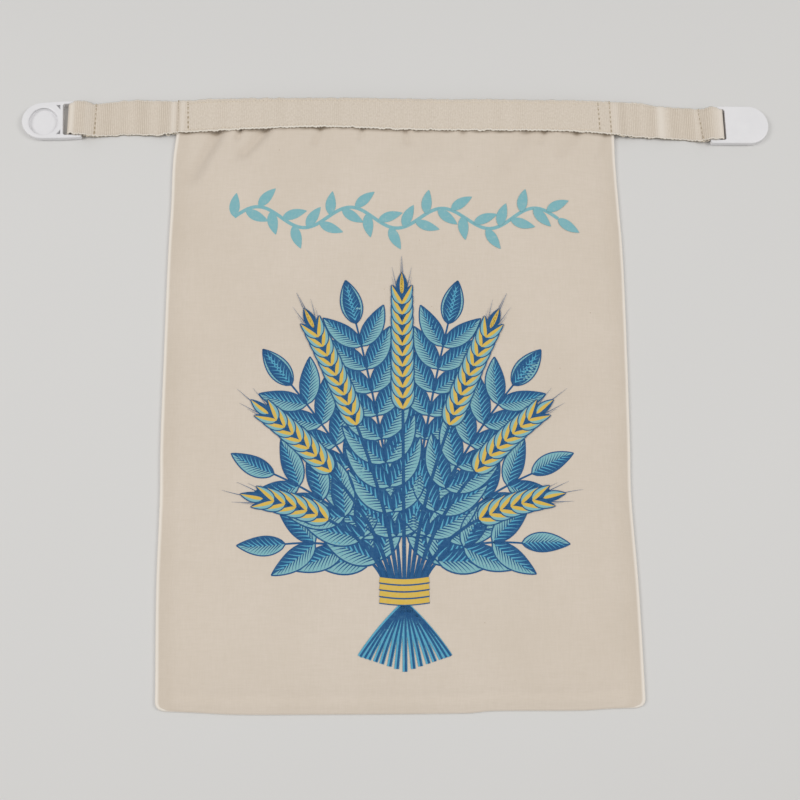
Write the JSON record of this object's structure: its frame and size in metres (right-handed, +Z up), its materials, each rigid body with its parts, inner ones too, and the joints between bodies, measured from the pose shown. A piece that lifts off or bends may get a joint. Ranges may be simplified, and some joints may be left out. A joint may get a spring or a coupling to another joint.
{
  "type": "beeswax bread bag",
  "caption": "Flat cotton bread bag lying on its back, with an open mouth bound by webbing whose ends carry a white socket clip and a white tab clip.",
  "frame": {"origin": "on the table under the middle of the whole outline, straps and clips included", "axes": "+X across the bag from the socket clip to the tab clip, +Y up the bag from its bottom fold to its mouth, +Z up from the table through the bag's front"},
  "size_m": [0.5228, 0.4175, 0.0126],
  "materials": {
    "cotton_canvas": "plain woven, unbleached, matte",
    "cotton_webbing": "ribbed narrow weave, matte",
    "white_plastic": "moulded, soft gloss"
  },
  "bodies": {
    "root": {"sack": "cotton_canvas", "webbing": "cotton_webbing", "clip_socket": "white_plastic", "clip_tab": "white_plastic"}
  },
  "joints": []
}
